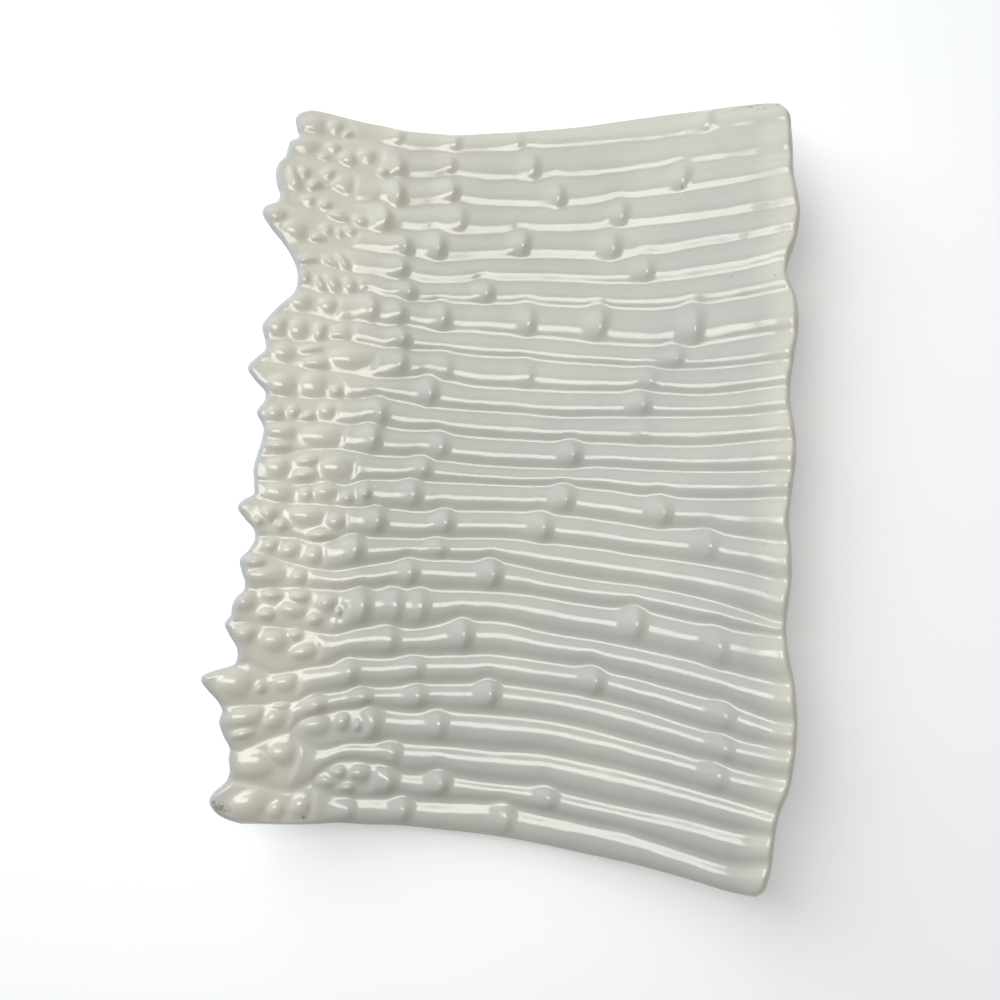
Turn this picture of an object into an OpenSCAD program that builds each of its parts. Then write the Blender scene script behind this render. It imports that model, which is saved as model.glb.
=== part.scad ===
// Asparagus serving plate. 26 spears lie side by side in relief on a plate body that
// curves up at both ends like a shallow cradle, and two foot rails keep it from rocking.
// Frame: +X along the spears to their cut ends, +Y across them, +Z up, in millimetres.
// The origin is the middle of the plate's outline, at table height.

/* [Plate] */
// Length along the curve, from the common line of the tips to that of the cut ends
plate_l = 234; // [200:1:280]
// Width across the spears
plate_w = 320; // [260:1:380]
// Radius of the cradle curve, measured at the seat of the spears
arc_r = 270; // [220:5:400]
// Thickness of the plate body
body_t = 5; // [3:0.5:8]
// How far the body's edge stands back inside the outline of the spears
body_inset = 2.5; // [1:0.5:5]

/* [Spears] */
// Height of a spear's crown over its seat
crown_h = 4.2; // [3:0.1:7]
// Height of the valley between two spears, and of the outer edge of the relief
valley_h = 2.4; // [1:0.1:2.8]
// Gap between the flanks of two spears, which the glaze fills
seam = 0.25; // [0.1:0.05:0.5]
// Length over which a tip rounds up from the edge to the crown
tip_round = 12; // [6:1:20]
// Length over which a cut end rounds down to the edge
cut_round = 4; // [2:0.5:8]

/* [Buds] */
// Height of a bud over the crown
bud_h = 1.6; // [0.4:0.1:2.4]
// Length of a bud's ramp, which rises from the tip side to its peak
bud_ramp = 8.5; // [5:0.5:12]
// Length of the steep step behind a bud's peak, which faces the cut end
bud_step = 3; // [1:0.1:4]

/* [Foot] */
// Height of the body's lowest line over the table
foot_gap = 3; // [1:0.5:8]
// Distance of a rail's centre line from the body's lowest line
foot_x = 60; // [40:1:80]
// Width of a rail
foot_w = 10; // [6:1:16]
// How far a rail's ends stand back from the sides of the plate
foot_inset = 24; // [10:1:60]

/* [Hidden] */
// Facets of the round surfaces in the preview
$fn = 360;
glaze = [0.90, 0.89, 0.84];
biscuit = [0.86, 0.82, 0.73];

// The pattern below is drawn flat on a sheet of this size, with its middle at [0, 0]:
// distances along the spears run from the tips to the cut ends, those across from +Y to -Y.
sheet_l = 234;
sheet_w = 320;
function along(s) = s * plate_l / sheet_l;
function across(v) = v * plate_w / sheet_w;
function on_sheet(length) = length * sheet_l / plate_l;
tip_rise = on_sheet(tip_round);
cut_fall = on_sheet(cut_round);
ramp = on_sheet(bud_ramp);
step = on_sheet(bud_step);
inset = on_sheet(body_inset);

// Seams between the spears. Each row gives one seam's place across the sheet at these
// stations along it. The first row is the plate's +Y side and the last its -Y side.
stations = [-106, -84, -62, -40, 0, 50, 85, 112];
seams = [
    [161, 159.5, 158, 158, 160.5, 161, 158, 153],
    [147.5, 149.5, 145.5, 146, 149, 146.5, 145, 142],
    [135.5, 132.5, 131.5, 134, 132.5, 132.5, 131, 128],
    [117, 117.5, 117, 120.5, 119, 119.5, 119, 118],
    [109.5, 105.5, 104.5, 106, 107, 105.5, 104.5, 103],
    [92, 94, 92.5, 91.5, 94, 91.5, 92.5, 92.5],
    [83, 82.5, 81.5, 80.5, 83, 79.5, 79, 80],
    [73, 71, 71.5, 71, 71.5, 67, 66.5, 67],
    [59.5, 58, 58.5, 57.5, 56, 50, 48.5, 49.5],
    [46, 49, 47, 48, 46, 41.5, 38, 38.5],
    [35, 34.5, 33.5, 35, 31.5, 30, 27, 28],
    [20.5, 22.5, 24, 21.5, 20.5, 19, 18, 18],
    [8.5, 11, 11.5, 10.5, 8.5, 7, 6, 7],
    [-6.5, -1, -2.5, -2, -4, -3.5, -5.5, -5.5],
    [-18, -16.5, -14, -12.5, -12, -14, -16, -15.5],
    [-26.5, -26, -26, -26, -23.5, -27, -28.5, -33.5],
    [-42, -42.5, -38, -38, -35.5, -39, -42.5, -47],
    [-49.5, -54, -51.5, -47, -45.5, -51.5, -55.5, -63],
    [-64.5, -62.5, -62, -60, -58.5, -61.5, -66, -67.5],
    [-79, -80, -78, -77, -71, -76.5, -80.5, -85],
    [-96, -96.5, -91, -88.5, -85, -88.5, -93.5, -99],
    [-113, -110.5, -104, -100.5, -96, -99.5, -105, -108],
    [-130.5, -118, -112.5, -111.5, -109.5, -112.5, -116.5, -118.5],
    [-130.5, -126, -126, -124.5, -124, -125, -128, -131],
    [-143.5, -146, -133.5, -136.5, -136.5, -138.5, -139, -139.5],
    [-143.5, -146, -148.5, -147, -145, -148, -152, -149],
    [-160, -160.5, -159, -158.5, -158.5, -160, -162, -161]
];

// Where each seam meets the outline between two tips, from +Y to -Y, and where the
// plate's two corners start at the cut ends
notches = [
    -108, -112, -116.5, -117, -118, -111.5, -105.5, -105.5, -114, -115, -120, -113, -113, -113.5,
    -113.5, -114, -110.5, -113.5, -112, -117, -112, -115.5, -110, -110, -109.5, -109.5, -107
];
cut_corners = [105, 105];

// Spears from +Y to -Y: [tip, cut end, [peaks of the scales and buds]]
spears = [
    [-114, 111, [-95, -66.5, -39, -9, 79]],
    [-116, 114.5, [-97, -80, -64.5, -40, 0]],
    [-120, 115.5, [-102, -88, -63.5, -38, 13, 70]],
    [-117, 117, [-103, -95, -87, -78, -68.5, -33, 43]],
    [-123.5, 118, [-107, -93, -83, -58, -42, -2, 40]],
    [-108.5, 115.5, [-98, -88, -58.5, 55]],
    [-105, 114.5, [-98, -88, -80, -54, -17]],
    [-110, 117.5, [-100, -89, -70.5, -57.5, -37, 3, 36, 77]],
    [-117.5, 117.5, [-103, -93, -82, -55, 70]],
    [-117, 116, [-105, -92, -74, -55, -34, 4, 59]],
    [-121.5, 115.5, [-106, -92, -81, -40, 56]],
    [-115.5, 117.5, [-107, -99, -87, -62, 57]],
    [-112, 118, [-102, -85, -64, -33, 27]],
    [-114, 117, [-103, -90, -77, -40]],
    [-113, 116, [-101, -83, -72, -64.5, -43, 25, 67]],
    [-118.5, 117, [-106, -90, -75, -58.5, -28, 16, 86]],
    [-111, 116.5, [-102, -93, -83, -67, -30]],
    [-115, 115, [-102, -88, -42, -5]],
    [-116, 117, [-109, -99, -88, -76, -61.5, -47, -36, 58, 91]],
    [-118, 119, [-108, -95, -83, -48, -16]],
    [-124.5, 119.5, [-110, -101, -90, -64.5, -36, 42, 94]],
    [-115.5, 118.5, [-103, -91, -77, -57.5, -34, -2, 94]],
    [-86, 116.5, [-75, -63, -52.5, -24, 92]],
    [-110, 113.5, [-99, -87, -43]],
    [-75, 112, [-64, -54, -43, -21, 25]],
    [-115.5, 109.5, [-103, -91, -60, -36, 7]]
];
count = len(spears);

// A tip that starts behind this line lies between its neighbours, inside the outline
inner_line = -95;
// Length over which the front of a spear straightens behind its notches, and over which
// an inner tip opens to its full width
front_blend = 24;
inner_blend = 12;
// Length over which the cut ends straighten
back_blend = 12;
// Rings over the round of a tip and of a cut end, in lengths of those rounds
tip_shares = [0.1, 0.4];
cut_shares = [1, 0.3];
// Rings beside an inner tip, which its neighbours share, in lengths of inner_blend
inner_shares = [0, 0.1, 0.3, 0.6, 1, 1.5, 2, 2.5, 3];
// Longest and shortest step between two rings
ring_step = 11;
ring_min = 0.5;

// Points of a cross-section: places across the spear, from one seam (1) to the other (-1)
flank_u = 0.62;
crown_us = [1, flank_u, 0, -flank_u, -1];
seat_us = [-1, 0, 1];
ring_n = len(crown_us) + len(seat_us);

function clamp(x, low, high) = min(max(x, low), high);
function mix(a, b, t) = a + (b - a) * t;
// Quarter circle from 0 to 1, and a section's height share at place u
function quarter(t) = sqrt(1 - pow(1 - clamp(t, 0, 1), 2));
function dome(u) = sqrt(1 - u * u);

// Curve through a row's stations: a cubic in each span, with the slopes of its neighbours
last_station = len(stations) - 1;
function span_of(s, i = 0) = i >= last_station - 1 || s < stations[i + 1] ? i : span_of(s, i + 1);
function slope(row, i) =
    let (a = max(i - 1, 0), b = min(i + 1, last_station))
    (row[b] - row[a]) / (stations[b] - stations[a]);
function row_at(row, s) =
    let (
        at = clamp(s, stations[0], stations[last_station]),
        i = span_of(at),
        run = stations[i + 1] - stations[i],
        t = (at - stations[i]) / run,
        smooth = t * t * (3 - 2 * t)
    )
    mix(row[i], row[i + 1], smooth)
    + run * t * (1 - t) * ((1 - t) * slope(row, i) - t * slope(row, i + 1));

// A seam's place across the sheet. The two seams of an inner spear close at its tip.
function tip(k) = spears[k][0];
function cut(k) = spears[k][1];
function is_inner(k) = k >= 0 && k < count && tip(k) > inner_line;
function closed_seam(r, other, k, s) =
    let (middle = (row_at(seams[r], s) + row_at(seams[other], s)) / 2)
    mix(middle, row_at(seams[r], s), quarter((s - tip(k)) / inner_blend));
function seam_at(r, s) =
    is_inner(r) ? closed_seam(r, r + 1, r, s)
    : is_inner(r - 1) ? closed_seam(r, r - 1, r - 1, s)
    : row_at(seams[r], s);

// Ends of a spear: how far its outline lies behind its tip, or before its cut, at place u
function cut_corner(r) =
    r == 0 ? cut_corners[0]
    : r == count ? cut_corners[1]
    : (cut(r - 1) + cut(r)) / 2;
function seam_row(k, u) = u > 0 ? k : k + 1;
function front_back(k, u) = is_inner(k) ? 0 : (notches[seam_row(k, u)] - tip(k)) * u * u;
function cut_back(k, u) = (cut_corner(seam_row(k, u)) - cut(k)) * u * u;

// Place of a ring's point along the sheet, and across it
function ring_s(k, s, u) =
    s + front_back(k, u) * clamp(1 - (s - tip(k)) / front_blend, 0, 1)
    + cut_back(k, u) * clamp(1 - (cut(k) - s) / back_blend, 0, 1);
function ring_v(k, s, u) =
    mix(seam_at(k + 1, s), seam_at(k, s), (1 + u) / 2);

// The cradle: a place on the sheet and a height over the seat become a point
deg = 180 / PI;
axis_z = foot_gap + body_t + arc_r;
function arc_x(s) = arc_r * sin(along(s) / arc_r * deg);
tip_x = min([for (k = [0 : count - 1]) arc_x(tip(k))]);
cut_x = max([for (k = [0 : count - 1]) arc_x(cut(k))]);
mid_x = -(tip_x + cut_x) / 2;
// Places along the plate's two sides
side_step = 4;
side_ss = [for (s = [stations[0] : side_step : stations[last_station]]) s];
mid_y = -across(max([for (s = side_ss) row_at(seams[0], s)])
    + min([for (s = side_ss) row_at(seams[count], s)])) / 2;
function on_arc(s, y, h) =
    let (a = along(s) / arc_r * deg)
    [mid_x + (arc_r - h) * sin(a), mid_y + y, axis_z - (arc_r - h) * cos(a)];

// Height of the scales and buds at a place along a spear
function bud_start(k, i) =
    max(spears[k][2][i] - ramp, i == 0 ? tip(k) + tip_rise / 4 : spears[k][2][i - 1] + step);
function bud_at(k, s) = max([0, for (i = [0 : len(spears[k][2]) - 1])
    let (start = bud_start(k, i), peak = spears[k][2][i], end = peak + step)
    s <= start || s >= end ? 0
    : s < peak ? bud_h * (s - start) / (peak - start)
    : bud_h * (end - s) / step]);

// Places of a spear's rings, in order and none closer than ring_min: its ends, its buds,
// the tips of inner neighbours, and even steps over the plain stretches
function sorted(list) =
    len(list) < 2 ? list
    : concat(
        sorted([for (i = [1 : len(list) - 1]) if (list[i] < list[0]) list[i]]),
        [list[0]],
        sorted([for (i = [1 : len(list) - 1]) if (list[i] >= list[0]) list[i]])
    );
function spaced(list) =
    [for (i = [0 : len(list) - 1]) if (i == 0 || list[i] - list[i - 1] > ring_min) list[i]];
function inner_places(k) =
    is_inner(k) ? [for (share = inner_shares) tip(k) + inner_blend * share] : [];
function filled(list) = [
    for (i = [0 : len(list) - 2])
        let (gap = list[i + 1] - list[i], n = ceil(gap / ring_step))
        for (j = [0 : n - 1]) list[i] + gap * j / n,
    list[len(list) - 1]
];
function rings(k) =
    let (
        first = is_inner(k) ? inner_places(k)[1] : tip(k),
        places = concat(
            [for (share = tip_shares) tip(k) + tip_rise * share],
            [for (i = [0 : len(spears[k][2]) - 1])
                each [bud_start(k, i), spears[k][2][i], spears[k][2][i] + step]],
            [for (i = [k - 1 : k + 1]) each inner_places(i)],
            [for (share = cut_shares) cut(k) - cut_fall * share]
        ),
        between = [for (s = sorted(places)) if (s > first + ring_min && s < cut(k)) s]
    )
    filled(concat([first], spaced(between), [cut(k)]));

// One ring's points: over the crown from +Y to -Y, then back along the seat
function ring_points(k, s) =
    let (
        ends = min(quarter((s - tip(k)) / tip_rise), quarter((cut(k) - s) / cut_fall)),
        rise = (crown_h - valley_h + bud_at(k, s)) * ends
    )
    concat(
        [for (u = crown_us) spear_point(k, s, u, valley_h + rise * dome(u))],
        [for (u = seat_us) spear_point(k, s, u, 0)]
    );
function spear_point(k, s, u, h) =
    let (at = ring_s(k, s, u))
    on_arc(at, across(ring_v(k, at, u)) - u * seam / 2, h);

// Triangles of a cap, in the order of its ring
cap = [[0, 1, 7], [1, 6, 7], [1, 2, 6], [2, 3, 6], [3, 5, 6], [3, 4, 5]];
function skin(n) = [
    each cap,
    for (j = [0 : n - 2], i = [0 : ring_n - 1])
        let (a = j * ring_n + i, b = j * ring_n + (i + 1) % ring_n)
        each [[a, a + ring_n, b + ring_n], [a, b + ring_n, b]],
    for (t = cap) [for (i = [2, 1, 0]) t[i] + (n - 1) * ring_n]
];

// Outline of the body, inside that of the spears: tips, -Y side, cut ends, +Y side
outer = [for (k = [0 : count - 1]) if (!is_inner(k)) k];
function body_point(s, v, in_y) = [mid_x + arc_x(s), mid_y + across(v) + in_y];
function mid_v(k, s) = (row_at(seams[k], s) + row_at(seams[k + 1], s)) / 2;
// How far the body's sides stop short of its corners
corner = inset * 2;
body_outline = concat(
    [for (k = outer) each concat(
        k == 0 ? [] : [let (s = notches[k] + inset) body_point(s, row_at(seams[k], s), 0)],
        [let (s = tip(k) + inset) body_point(s, mid_v(k, s), 0)]
    )],
    [for (s = side_ss) if (s > notches[count] + corner && s < cut_corners[1] - corner)
        body_point(s, row_at(seams[count], s), body_inset)],
    [for (i = [0 : count - 1]) let (k = count - 1 - i, s = cut(k) - inset)
        body_point(s, mid_v(k, s), 0)],
    [for (i = [1 : len(side_ss)]) let (s = side_ss[len(side_ss) - i])
        if (s > notches[0] + corner && s < cut_corners[0] - corner)
            body_point(s, row_at(seams[0], s), -body_inset)]
);

function two_digits(i) = i < 10 ? str("0", i) : str(i);
function spear_name(k) = str("spear_", two_digits(k + 1));

// Solid cylinder about the axis of the cradle, wider than the plate
module cradle_cylinder(radius) {
    translate([mid_x, 0, axis_z])
        rotate([90, 0, 0])
            cylinder(r = radius, h = 2 * plate_w, center = true);
}

// Curved slab that carries the relief
module plate_body() {
    color(glaze)
        intersection() {
            difference() {
                cradle_cylinder(arc_r + body_t);
                cradle_cylinder(arc_r);
            }
            linear_extrude(axis_z)
                polygon(body_outline);
        }
}

// Rail under the body, on the tip side (-1) or the cut side (1): flat below, and above
// it follows the underside of the body
module foot_rail(side) {
    rail_l = plate_w - 2 * foot_inset;
    color(biscuit)
        difference() {
            translate([mid_x + side * foot_x - foot_w / 2, -rail_l / 2, 0])
                cube([foot_w, rail_l, axis_z]);
            cradle_cylinder(arc_r + body_t);
        }
}

// One spear with its tip, buds and cut end, lofted along the cradle
module spear(k) {
    places = rings(k);
    color(glaze)
        polyhedron(points = [for (s = places) each ring_points(k, s)], faces = skin(len(places)));
}

plate_body();
foot_rail(-1);  // foot_rail_tip_side
foot_rail(1);  // foot_rail_cut_side
for (k = [0 : count - 1])
    spear(k);
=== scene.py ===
"""Asparagus serving plate: 26 spears in relief on a curved ceramic body with a two-rail foot.

The relief is drawn flat on a sheet, in millimetres, and then bent onto the cradle curve of the
solids. On the sheet s runs along the spears from the tips to the cut ends, v across them from -Y
to +Y and h up from the seat of the spears, with the middle of the plate at [0, 0].
"""
import math

import bmesh
import bpy
import numpy as np
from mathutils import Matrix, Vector


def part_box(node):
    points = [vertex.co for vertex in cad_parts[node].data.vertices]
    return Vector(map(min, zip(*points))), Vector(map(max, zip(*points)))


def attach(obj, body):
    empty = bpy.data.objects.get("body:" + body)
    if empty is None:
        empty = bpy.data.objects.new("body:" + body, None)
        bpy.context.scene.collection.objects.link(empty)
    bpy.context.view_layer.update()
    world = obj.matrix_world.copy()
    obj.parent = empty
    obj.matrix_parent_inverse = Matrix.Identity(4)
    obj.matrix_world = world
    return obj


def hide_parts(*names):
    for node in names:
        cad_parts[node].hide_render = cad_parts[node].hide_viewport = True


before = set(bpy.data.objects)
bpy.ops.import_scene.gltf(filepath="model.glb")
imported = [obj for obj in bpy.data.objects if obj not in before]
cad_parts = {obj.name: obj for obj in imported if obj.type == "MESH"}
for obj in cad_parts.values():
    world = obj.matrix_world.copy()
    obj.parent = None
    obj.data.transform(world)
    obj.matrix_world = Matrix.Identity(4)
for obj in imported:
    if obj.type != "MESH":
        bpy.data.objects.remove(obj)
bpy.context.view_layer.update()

bl_info = {
    "name": "Asparagus plate",
    "version": (1, 0, 0),
    "blender": (4, 5, 0),
    "location": "View3D > Sidebar > Plate",
    "description": "Builds a glazed asparagus plate around its solids",
    "category": "Object",
}

BODY = "root"
MM = 0.001

# Seams between the spears: one row for each seam, its places across the sheet at these stations
# along it. The first row is the plate's +Y side and the last its -Y side.
STATIONS = (-106, -95, -84, -73, -62, -51, -40, -20, 0, 20, 40, 60, 80, 100, 112)
SEAMS = (
    (161.5, 160.5, 159.5, 159, 158, 158, 158, 159.5, 160.5, 161, 161.5, 161, 159, 156, 153),
    (147.5, 146.5, 149.5, 147, 145, 146, 146, 147, 148, 148, 147.5, 146, 145.5, 143.5, 142),
    (135.5, 135, 132.5, 131, 131.5, 132, 134, 132.5, 132.5, 132.5, 132.5, 133, 131.5, 129.5, 128),
    (117, 121, 117.5, 117, 117, 118.5, 120.5, 120, 119, 118.5, 119.5, 119.5, 119, 118.5, 118.5),
    (110, 107, 105, 103.5, 104, 105.5, 105, 105.5, 107, 106.5, 106, 105.5, 104.5, 104, 103),
    (92, 95, 94, 93.5, 92.5, 92.5, 91.5, 93.5, 94, 93, 91, 91.5, 93, 92.5, 93),
    (82, 84.5, 82.5, 82, 81, 80.5, 80.5, 82.5, 83, 82, 80, 79, 79, 79.5, 81),
    (73, 70.5, 71, 73.5, 71.5, 71, 71, 71.5, 71.5, 70, 68.5, 66.5, 66.5, 67, 67.5),
    (59.5, 59.5, 58, 59, 58, 58.5, 57.5, 57.5, 56, 54.5, 51.5, 49.5, 48, 49.5, 49.5),
    (46, 46.5, 50, 49, 47, 47.5, 48, 46.5, 46, 44, 42.5, 40, 38.5, 38, 38.5),
    (35, 34.5, 34.5, 34, 33.5, 34.5, 35, 32, 31.5, 30.5, 30, 29.5, 27, 27.5, 28),
    (20.5, 21, 22, 23, 24, 23, 21.5, 21, 20.5, 19, 19, 18.5, 18, 17.5, 18),
    (8.5, 10.5, 11, 10.5, 11.5, 10, 10.5, 9, 8.5, 8, 7.5, 6.5, 5.5, 6.5, 7),
    (-7, -3.5, -1, -1, -2.5, -2, -2, -3.5, -4, -4, -3, -4, -5, -5.5, -5.5),
    (-18, -18.5, -16.5, -16.5, -14, -13, -12.5, -12, -12, -11.5, -12.5, -15, -16, -16, -15.5),
    (-26, -27, -26, -26, -26, -25.5, -26, -24.5, -23.5, -24, -25.5, -28, -28.5, -31.5, -33),
    (-42, -41.5, -42.5, -40, -38.5, -38.5, -38, -36.5, -35.5, -36.5, -38, -40, -42, -44.5, -47),
    (-49.5, -52, -54, -54, -51.5, -49, -47, -46, -46, -49, -51, -52.5, -55, -59.5, -63),
    (-64.5, -63, -62.5, -63, -62, -60, -60, -59, -58.5, -59.5, -61.5, -62, -65, -67, -67.5),
    (-79, -80, -80.5, -81.5, -78, -76.5, -77, -72.5, -71, -74, -75.5, -77.5, -80, -83.5, -85),
    (-95.5, -99.5, -96.5, -94, -91, -90, -88.5, -86.5, -85, -86, -87, -89.5, -92.5, -96, -99),
    (-113, -111.5, -110, -106.5, -104, -102.5, -101, -98.5, -97, -97.5, -98.5, -101, -104.5,
     -107.5, -108),
    (-131, -125.5, -118, -115, -112.5, -111.5, -111.5, -110, -109.5, -109.5, -111, -113.5, -116,
     -118, -118.5),
    (-131, -125.5, -126, -129, -126, -125, -124.5, -124, -124, -123, -124, -125.5, -127.5,
     -129.5, -131),
    (-142.5, -144.5, -146.5, -138, -133.5, -134, -136.5, -136, -137, -136.5, -138, -139, -139,
     -140, -139.5),
    (-142.5, -144.5, -146.5, -146, -148.5, -147, -147, -146.5, -145, -146.5, -147.5, -148.5, -151,
     -152, -149),
    (-160.5, -160.5, -160.5, -160, -159, -159, -158.5, -158.5, -158.5, -159, -160, -160.5, -161.5,
     -162.5, -161.5),
)

# Outline of the tips, as [s, v] from +Y to -Y: each tip, each notch, and what lies between them
TIP_LINE = (
    (-104, 163), (-108, 161), (-113, 157.5), (-114, 155), (-113, 150), (-112, 146), (-115, 143.5),
    (-116, 140), (-116.5, 135.5), (-119, 131.5), (-120, 128), (-119, 121), (-117, 115),
    (-118, 112), (-122, 109.5), (-123.5, 107), (-120, 100), (-115, 95), (-110, 89), (-106, 82),
    (-105, 76), (-106, 70), (-110, 65), (-115, 58), (-117.5, 53), (-115.5, 45), (-115, 42),
    (-118, 38), (-121, 34), (-121.5, 32), (-118, 27), (-113, 22), (-112.7, 19), (-115.5, 13),
    (-112, 6), (-112, 1), (-113, -5), (-114, -12), (-113, -20), (-113, -24), (-117, -27),
    (-118.5, -30), (-115, -35), (-111, -39), (-110, -43), (-112, -48), (-115, -52), (-114, -57),
    (-112, -62), (-112, -65), (-115, -69), (-116, -73), (-116, -76), (-118, -80), (-116, -84),
    (-112, -90), (-111.5, -94), (-113, -97), (-120, -99.5), (-124, -101.5), (-124.5, -103.5),
    (-122, -107), (-117, -112), (-115, -115), (-115.5, -120), (-113, -126), (-110, -131),
    (-110, -135), (-109, -140), (-110, -144), (-114, -148), (-115.5, -151), (-113.7, -155),
    (-110.5, -157.6), (-106, -159.5), (-100, -161),
)

# Outline of the cut ends, the same way
CUT_LINE = (
    (107, 156), (110, 153), (112.5, 150), (114.5, 140), (115.2, 130), (115.7, 120), (117.5, 110),
    (118.3, 102), (117.7, 95), (116.7, 90), (113.8, 80), (113.8, 77), (115.3, 72), (117, 67),
    (118.3, 58), (118, 50), (116.7, 40), (115.5, 25), (116, 20), (117, 15), (118, 5), (118, 0),
    (117, -10), (115.8, -25), (116.7, -35), (117, -45), (116.2, -55), (115.2, -65), (116.5, -75),
    (118.5, -85), (119.5, -95), (119.5, -105), (118.5, -115), (116.5, -125), (114.5, -130),
    (112.5, -140), (111.5, -150), (110.5, -155), (108.5, -160), (105, -163),
)

# Scales of each tip, from +Y to -Y, as [s, v of the thin end, s, v of the blunt end, half width]
SCALES = (
    ((-113, 153, -99, 150.5, 5), (-100, 153, -91, 152.5, 4), (-93, 149.5, -86, 150, 3)),
    ((-116, 141, -101, 141, 4), (-103, 136.5, -95, 136.5, 3), (-100, 142, -91, 142, 3),
     (-93.5, 138.5, -83, 137.5, 4), (-85, 141, -74.5, 140, 4), (-74, 134, -68, 133, 2.5)),
    ((-114, 130, -108.5, 117, 3.5), (-111, 128, -104, 125.5, 3.5), (-105.5, 122.5, -98, 120.5, 4),
     (-100, 129, -92, 127.5, 3.5), (-96, 126, -83.5, 123.5, 5)),
    ((-108, 115, -100, 113.5, 3), (-100, 114, -92, 112, 3), (-96, 110, -83.5, 107.5, 3),
     (-84, 109.5, -75, 106.5, 3)),
    ((-123, 106, -112, 103, 4), (-115, 100.5, -102, 98, 4.5), (-102, 97, -93, 95.5, 3),
     (-98, 102.5, -90.5, 100, 3), (-91, 102, -85.5, 99.5, 2.5), (-88, 104, -80, 101.5, 3),
     (-98, 93, -93, 92, 2)),
    ((-107, 86, -95.5, 85, 3), (-96, 89, -85.5, 82.5, 2.4), (-89, 91, -81.5, 83, 2.5)),
    ((-106, 79, -98, 75.5, 3.5), (-98, 79.5, -91, 71.5, 2.5), (-94, 80, -84.5, 73, 3.5),
     (-85, 79, -77.5, 74, 3.5)),
    ((-108, 66, -96.5, 65, 4.5), (-95, 66.5, -85.5, 64, 4)),
    ((-116, 53, -106, 52, 5), (-107, 52.5, -97, 52.5, 5), (-92.5, 47.5, -92, 57.5, 3.5),
     (-88.5, 53, -77.5, 52.5, 5)),
    ((-113, 41.5, -101.5, 40, 4), (-102, 42.5, -89, 45, 2.5), (-99, 37, -86, 37.5, 4),
     (-89, 41, -66, 42.5, 5)),
    ((-113, 27, -99.5, 25, 5), (-99.5, 27.5, -86, 27.5, 6.5), (-86, 26, -78.5, 25.5, 3)),
    ((-112, 13, -103.5, 12, 4), (-103.5, 15, -96.5, 13.5, 3.5), (-97, 11, -90, 14, 2.6),
     (-90, 16, -81, 16.5, 3.5)),
    ((-112, 5.5, -97, 4.5, 5), (-111, -2, -98, -1.5, 3), (-97, 4, -77, 5, 5)),
    ((-110, -11, -98.5, -11.5, 5), (-97, -8.5, -86, -6.5, 3), (-98, -15, -86, -12, 3),
     (-87, -9, -70.5, -8.5, 5.5)),
    ((-109, -22, -96, -22.5, 4.5), (-94, -22.5, -87, -21.5, 3.5), (-88, -20.5, -77, -19.5, 4),
     (-76, -22, -69, -22, 3), (-68, -20, -61.5, -19.5, 3)),
    ((-110, -32, -101, -32.5, 4), (-112, -36, -106, -35, 2.5), (-103, -37, -96, -36, 3),
     (-98, -31, -82, -32, 4.5),
     (-81, -33, -71.5, -33, 4), (-89.5, -40, -74, -40, 3.5)),
    ((-107, -46, -99.5, -45.5, 3), (-100, -47.5, -90.5, -46.5, 3.5), (-89, -49, -80, -48, 4)),
    ((-114, -52.5, -103, -53.5, 3.5), (-113, -59, -95, -58, 4.5), (-94, -58, -85.5, -58.5, 3.5)),
    ((-116, -71, -106, -70, 4), (-105, -66, -95.5, -67, 2.6), (-106, -75, -97, -75, 2.6),
     (-97.5, -72, -84.5, -72.5, 3.8), (-93, -66, -84, -67.5, 3), (-81, -67.5, -72.5, -69.5, 4),
     (-85, -75.5, -77, -76, 3), (-73, -72, -69, -71.5, 2.5)),
    ((-114, -82, -104.5, -84.5, 4.5), (-104, -86, -90.5, -85.5, 5), (-92, -82, -85.5, -83, 2.6),
     (-91, -91, -78, -88.5, 3.5)),
    ((-119, -104, -103, -105, 5.5), (-103, -107, -98, -104, 3), (-97, -103, -85, -102.5, 4.5)),
    ((-114, -119.5, -97, -116, 5.5), (-111, -125.5, -99, -122, 3), (-99, -121, -88.5, -115.5, 4.5),
     (-97, -112, -87, -111.5, 2.2)),
    ((-85, -120, -69, -119, 5), (-69, -118.5, -61, -117, 4), (-61.5, -118.5, -55.5, -118.5, 3)),
    ((-109, -138, -90, -135.5, 5.8), (-96, -131, -82.5, -132.5, 4.8)),
    ((-74, -141.5, -65, -142, 3), (-69, -138, -60, -138, 3), (-62, -138, -50, -138, 3.5),
     (-64, -144, -56, -143.5, 2.5)),
    ((-108.5, -152.5, -92, -153, 5.8), (-93, -154, -84.5, -154, 4), (-84, -153, -74, -152, 4.5)),
)

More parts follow.
